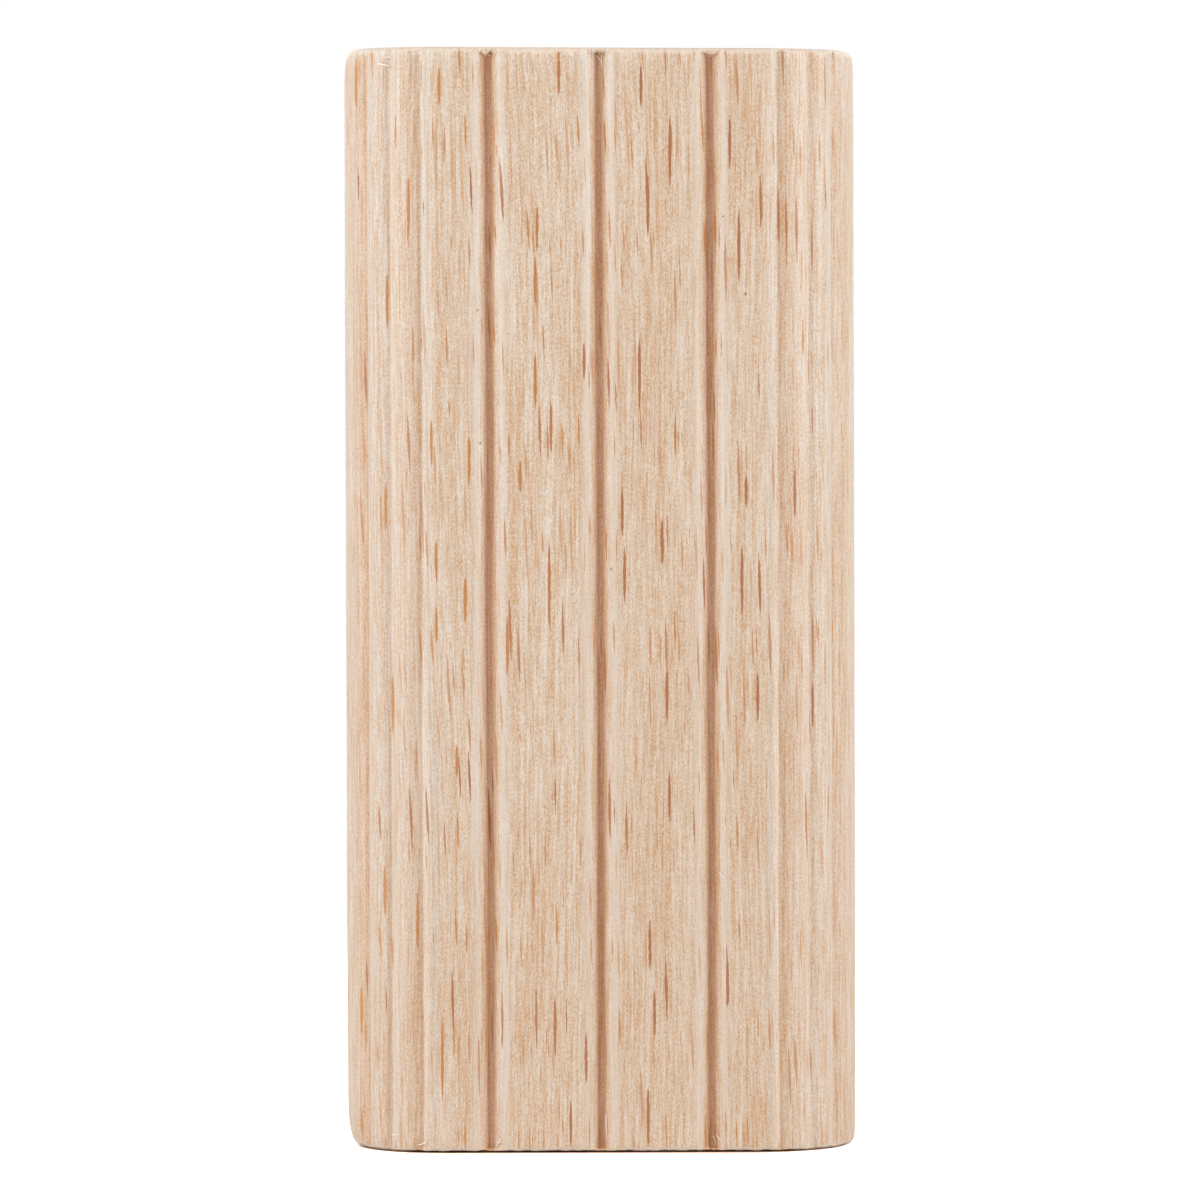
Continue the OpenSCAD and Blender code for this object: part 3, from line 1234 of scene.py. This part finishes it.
table_mesh = bpy.data.meshes.new("white_table")
half = TABLE_SIZE / 2
table_mesh.from_pydata([(-half, -half, 0), (half, -half, 0), (half, half, 0), (-half, half, 0)],
                       [], [(0, 1, 2, 3)])
table = bpy.data.objects.new("white_table", table_mesh)
bpy.context.scene.collection.objects.link(table)
print("table", TABLE_SIZE, "m square")

# %% [markdown]
# ## How near the foot of the slip is
#
# Light that has bounced off the wood leaves a thin warm line on the table along
# the front of the foot. Real bounces are too weak to show on so bright a table,
# so the line is painted. It follows the outline: the paint works out how far
# each point is from the stadium that the slip stands on, less the worn corners.

# %% Distance from the foot
FOOT_WEAR = 1.13
CONTACT_NEAR, CONTACT_FAR = 0.15 * MM, 0.56 * MM
FRONT_EDGE = (-2 * MM, 0.0)
LEAST_AHEAD = 0.02

paint = bpy.data.materials.new("table_paint")
board = Nodes(paint)
spot = board.add("ShaderNodeTexCoord").outputs["Object"]
spot_axes = board.add("ShaderNodeSeparateXYZ", Vector=spot).outputs
past_cheek = board.maths("SUBTRACT", board.maths("ABSOLUTE", spot_axes["X"]), CHEEK_HALF)
past_cheek = board.maths("MULTIPLY", board.maths("MAXIMUM", past_cheek, 0.0), FOOT_WEAR)
from_spine = board.add("ShaderNodeCombineXYZ", X=past_cheek, Y=spot_axes["Y"], Z=0.0)
from_spine = board.vector("LENGTH", from_spine.outputs[0])
ahead = board.maths("DIVIDE", board.maths("ABSOLUTE", spot_axes["Y"]), from_spine)
in_front = board.maths("SUBTRACT", from_spine, EDGE_R)
in_front = board.maths("DIVIDE", in_front, board.maths("MAXIMUM", ahead, LEAST_AHEAD))
clear_of_foot = board.ramp(in_front, CONTACT_NEAR, CONTACT_FAR)
behind = board.ramp(spot_axes["Y"], *FRONT_EDGE)
clear_of_foot = board.maths("MAXIMUM", clear_of_foot, behind)
print("the warm line ends", round(CONTACT_FAR / MM, 2), "mm from the foot")

# %% [markdown]
# ## The table's paint
#
# Rays from the camera see a brighter paint than the light does, and a plain glow
# further out. The light itself only meets the plain tone, so the table throws
# the same soft light up at the slip as real white board would.

# %% Paint the table
TABLE_TONE = 0.8
CAMERA_GAIN = 2.2
# Distances from the slip, in metres, between which the paint turns into glow
GLOW_FADE = (0.05, 0.16)
CONTACT_COLOUR = (0.90, 0.60, 0.41, 1)

seen = board.add("ShaderNodeLightPath").outputs["Is Camera Ray"]
glow = board.add("ShaderNodeEmission", Color=(1, 1, 1, 1), Strength=1.0).outputs[0]
reach = board.vector("LENGTH", spot)
far_away = board.maths("MULTIPLY", board.ramp(reach, *GLOW_FADE), seen)
gain = (CAMERA_GAIN, CAMERA_GAIN, CAMERA_GAIN, 1)
bright = board.blend(clear_of_foot, CONTACT_COLOUR, gain)
plain = (TABLE_TONE, TABLE_TONE, TABLE_TONE, 1)
painted = board.blend(seen, plain, bright)
matt = board.add("ShaderNodeBsdfDiffuse", Color=painted).outputs[0]
surface = board.add("ShaderNodeMixShader")
board.feed(surface.inputs[0], far_away)
board.feed(surface.inputs[1], matt)
board.feed(surface.inputs[2], glow)
board.add("ShaderNodeOutputMaterial", Surface=surface.outputs[0])
table_mesh.materials.append(paint)
print(len(board.tree.nodes), "nodes in", paint.name)

# %% [markdown]
# ## White paper all round
#
# The paper behind the table is only a background, so it needs no mesh. The world
# is plain white to the camera and to mirrored and refracted rays, and a much
# dimmer white to everything else, where it only lifts the deepest shadows.

# %% World
AMBIENT = 0.25

world = bpy.data.worlds.new("paper_sweep")
bpy.context.scene.world = world
air = Nodes(world)
rays_seen = air.add("ShaderNodeLightPath").outputs
direct = air.maths("MAXIMUM", rays_seen["Is Camera Ray"], rays_seen["Is Glossy Ray"])
direct = air.maths("MAXIMUM", direct, rays_seen["Is Transmission Ray"])
white = air.add("ShaderNodeBackground", Color=(1, 1, 1, 1), Strength=1.0).outputs[0]
soft = air.add("ShaderNodeBackground", Color=(1, 1, 1, 1), Strength=AMBIENT).outputs[0]
sky = air.add("ShaderNodeMixShader")
air.feed(sky.inputs[0], direct)
air.feed(sky.inputs[1], soft)
air.feed(sky.inputs[2], white)
air.add("ShaderNodeOutputWorld", Surface=sky.outputs[0])
print("the paper adds", AMBIENT, "of white to the light")

# %% [markdown]
# ## Lights
#
# Two large soft boxes stand to the left and right and rake across the grooves,
# the right one slightly brighter. A weaker one fills in from the left front, one
# hangs overhead, and one behind the slip lights its back in the same plain way.
# A sun would rake as well, but it would cut a hard shadow into every groove. An
# area light's power is spread over its face, so it is worked out here from how
# bright the face should look.

# %% Soft boxes
def soft_box(name, place, size, brightness):
    """Area light of a given size that faces the middle of the slip."""
    light = bpy.data.lights.new(name, "AREA")
    light.shape = "RECTANGLE"
    light.size, light.size_y = size
    light.energy = brightness * math.pi * size[0] * size[1]
    lamp = bpy.data.objects.new(name, light)
    lamp.location = place
    aim = Vector((0, 0, LENGTH / 2)) - lamp.location
    lamp.rotation_mode = "QUATERNION"
    lamp.rotation_quaternion = aim.to_track_quat("-Z", "Y")
    lamp.visible_camera = False
    bpy.context.scene.collection.objects.link(lamp)


# Places and sizes in metres
soft_box("left_box", (-0.486, -0.177, 0.213), (0.42, 0.34), 4.9)
soft_box("right_box", (0.486, -0.177, 0.213), (0.42, 0.34), 5.7)
soft_box("fill_box", (-0.332, -0.396, 0.213), (0.20, 0.34), 1.8)
soft_box("overhead_box", (0.0, -0.15, 0.60), (0.40, 0.40), 0.6)
soft_box("back_box", (0.0, 0.60, 0.24), (0.60, 0.40), 2.0)
print(len(bpy.data.lights), "soft boxes")

# %% [markdown]
# ## Camera
#
# A long lens far away flattens the slip. The camera stands level with the upper
# half of the slip and looks down by a degree and a half, so neither end shows.
# An orthographic camera would be simpler, but a real lens still shows a little
# of the edges turning away.

# %% Camera
SENSOR = 36.0
LENS = 265.9
STAND_OFF = 400.0 * MM
CAMERA_HEIGHT = 36.2 * MM
TILT_DOWN = math.radians(1.603)
ROLL = math.radians(-0.17)
SIDE_STEP = -0.011 * MM

camera_data = bpy.data.cameras.new("camera")
camera_data.sensor_width = SENSOR
camera_data.lens = LENS
camera = bpy.data.objects.new("camera", camera_data)
turn = Matrix.Rotation(math.pi / 2 - TILT_DOWN, 4, "X") @ Matrix.Rotation(ROLL, 4, "Z")
camera.matrix_world = Matrix.Translation((SIDE_STEP, -EDGE_R - STAND_OFF, CAMERA_HEIGHT)) @ turn
bpy.context.scene.collection.objects.link(camera)
bpy.context.scene.camera = camera
bpy.context.scene.view_settings.view_transform = "Standard"
print("the camera looks down by", round(math.degrees(TILT_DOWN), 1), "degrees")
